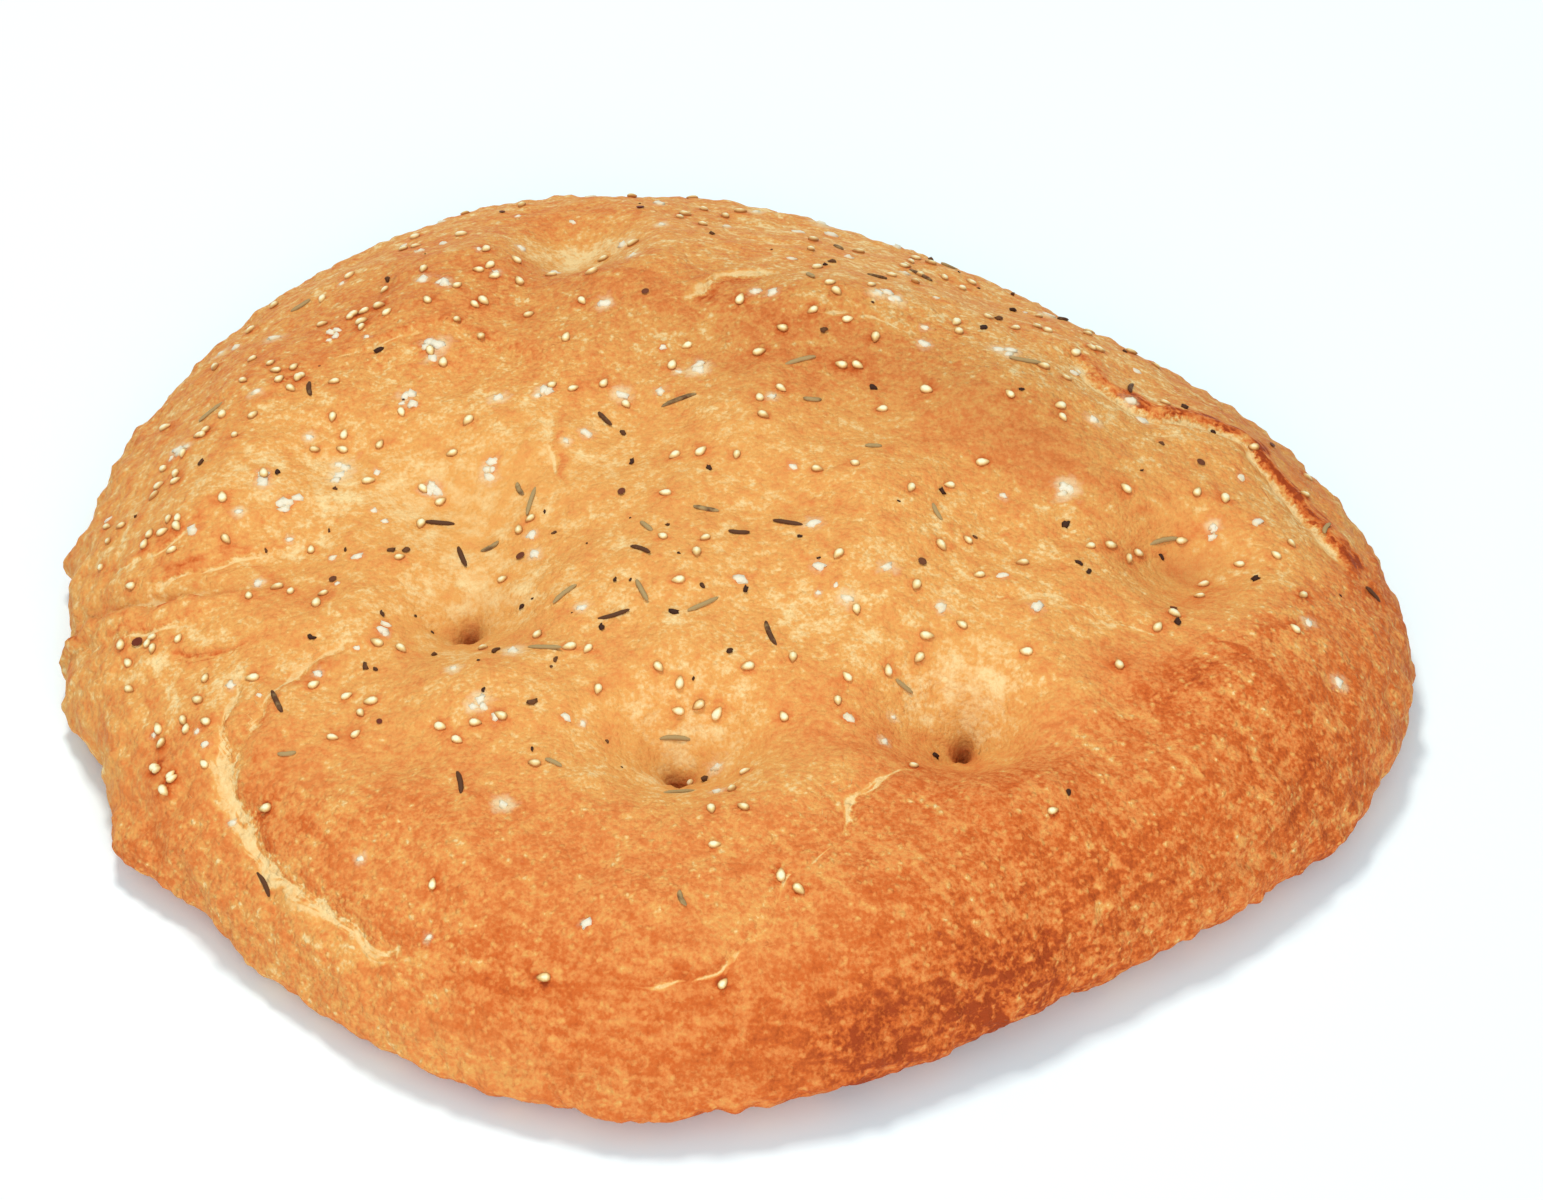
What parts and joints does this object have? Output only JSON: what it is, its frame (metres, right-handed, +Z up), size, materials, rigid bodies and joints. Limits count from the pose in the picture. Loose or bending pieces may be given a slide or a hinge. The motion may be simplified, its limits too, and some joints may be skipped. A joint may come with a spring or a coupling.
{
  "type": "focaccia",
  "caption": "Round hand-shaped flat bread with a puffed golden crust, finger dimples and skin folds, sprinkled with sesame, coarse salt, rosemary and pepper.",
  "frame": {"origin": "middle of the bounding box, on the flat base", "axes": "+Z up through the crust, +Y towards the back crest, away from the picture's camera, +X to the picture's right"},
  "size_m": [0.232, 0.2262, 0.0418],
  "materials": {
    "crust": "baked crust, thinly oiled, satin",
    "sesame": "toasted seed, satin",
    "salt": "coarse salt, dull",
    "rosemary": "dried needle, dull",
    "pepper": "cracked pepper, dull"
  },
  "bodies": {
    "root": {"focaccia": "crust"}
  },
  "joints": []
}
